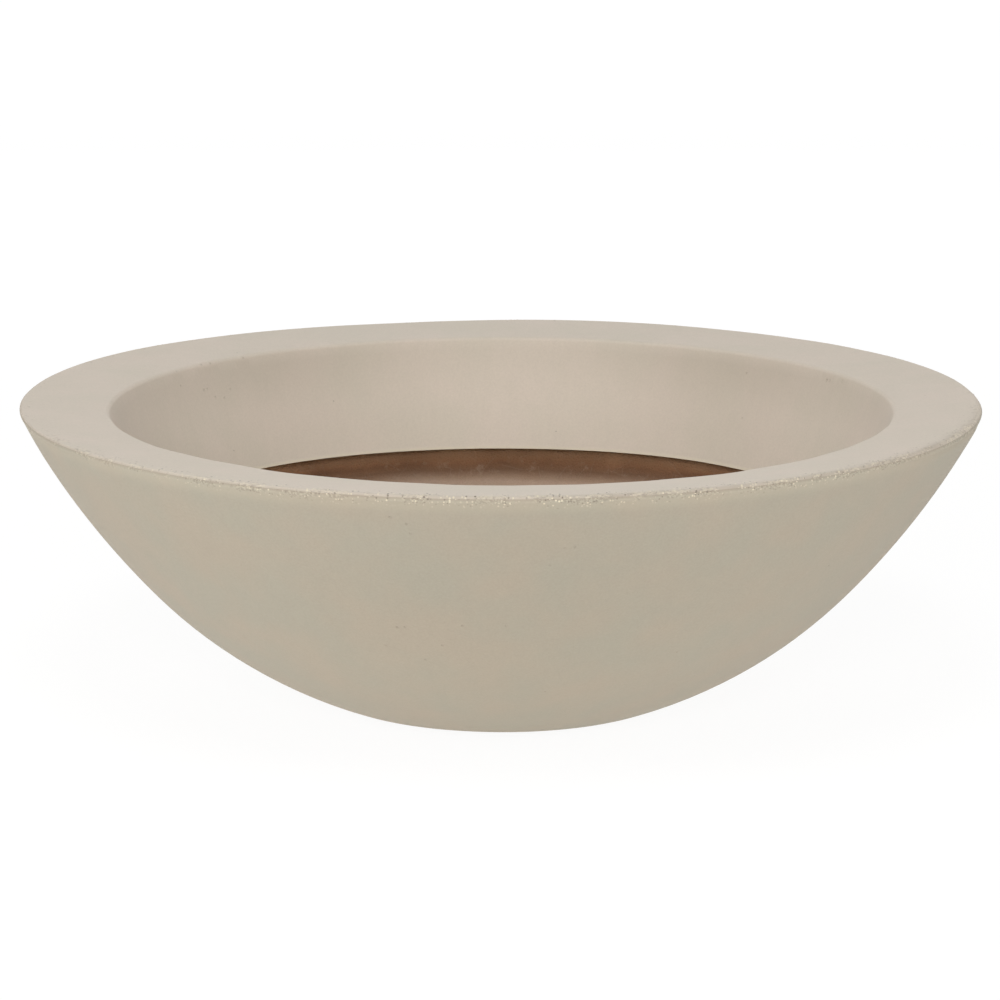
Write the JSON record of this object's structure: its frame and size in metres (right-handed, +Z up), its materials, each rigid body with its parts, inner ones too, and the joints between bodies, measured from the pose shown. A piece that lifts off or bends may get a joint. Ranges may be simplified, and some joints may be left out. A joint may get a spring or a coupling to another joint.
{
  "type": "bowl planter",
  "caption": "Wide, shallow round planter bowl in thin-shell concrete, with a flat hollow rim, an inward collar and a plugged drain hole in its flat base.",
  "frame": {"origin": "on the floor under the middle of the base, at the level of the foot pads' undersides", "axes": "+Z up along the bowl's axis, +X to the right and +Y away from the viewer in the picture's view"},
  "size_m": [0.7999, 0.8, 0.2536],
  "materials": {
    "face_coat": "matte",
    "fibre_backing": "matte",
    "bonding_mortar": "matte",
    "sleeve_plastic": "matte",
    "plug_rubber": "matte",
    "pad_rubber": "matte"
  },
  "bodies": {
    "bowl": {"bowl_face_coat": "face_coat", "bowl_backing": "fibre_backing", "rim_face_coat": "face_coat", "rim_backing": "fibre_backing", "rim_bond": "bonding_mortar", "drain_sleeve": "sleeve_plastic", "foot_pads": "pad_rubber"},
    "plug": {"drain_plug": "plug_rubber"}
  },
  "joints": [
    {"name": "plug_lift", "type": "slide", "parent": "bowl", "child": "plug", "axis": [0, 0, 1], "range_m": [0, 0.03]}
  ]
}
